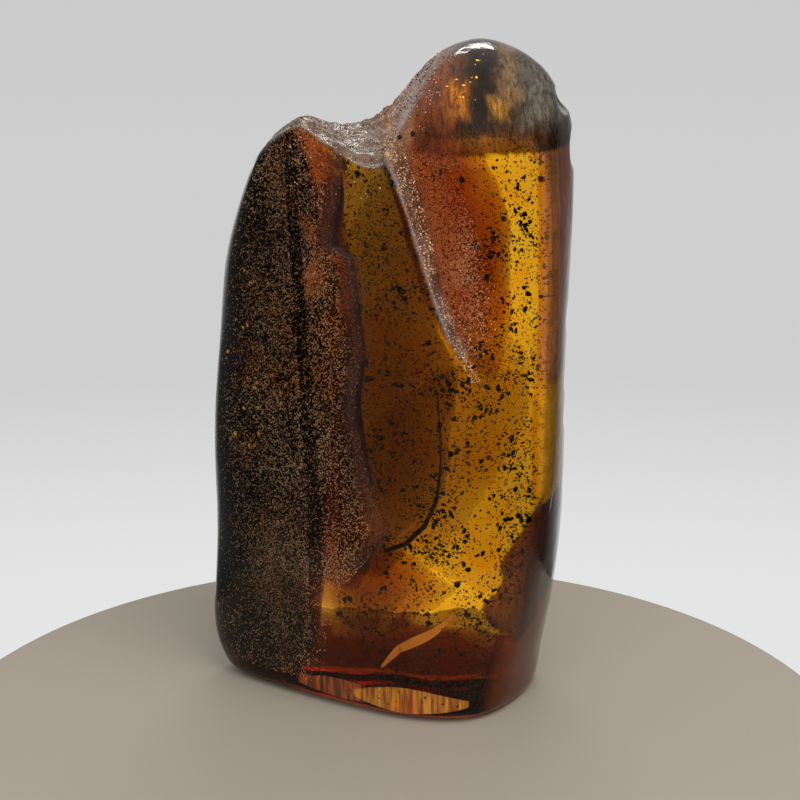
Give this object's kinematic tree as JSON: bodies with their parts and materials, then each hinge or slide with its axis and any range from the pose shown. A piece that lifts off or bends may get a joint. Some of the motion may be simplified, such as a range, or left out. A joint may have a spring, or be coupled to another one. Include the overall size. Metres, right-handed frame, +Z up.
{
  "type": "raw amber piece",
  "caption": "Upright piece of raw amber with polished faces, a rounded dome, a lower shoulder, a saddle of natural skin between them and a flat foot.",
  "frame": {"origin": "on the resting plane, under the middle of the piece, on the flat foot", "axes": "+Z up along the height, -Y towards the polished front with the window, +X to the right of someone facing that front"},
  "size_m": [0.0526, 0.0329, 0.0952],
  "materials": {
    "amber": "polished, see-through, with specks and dust sealed in"
  },
  "bodies": {
    "root": {"amber": "amber"}
  },
  "joints": []
}
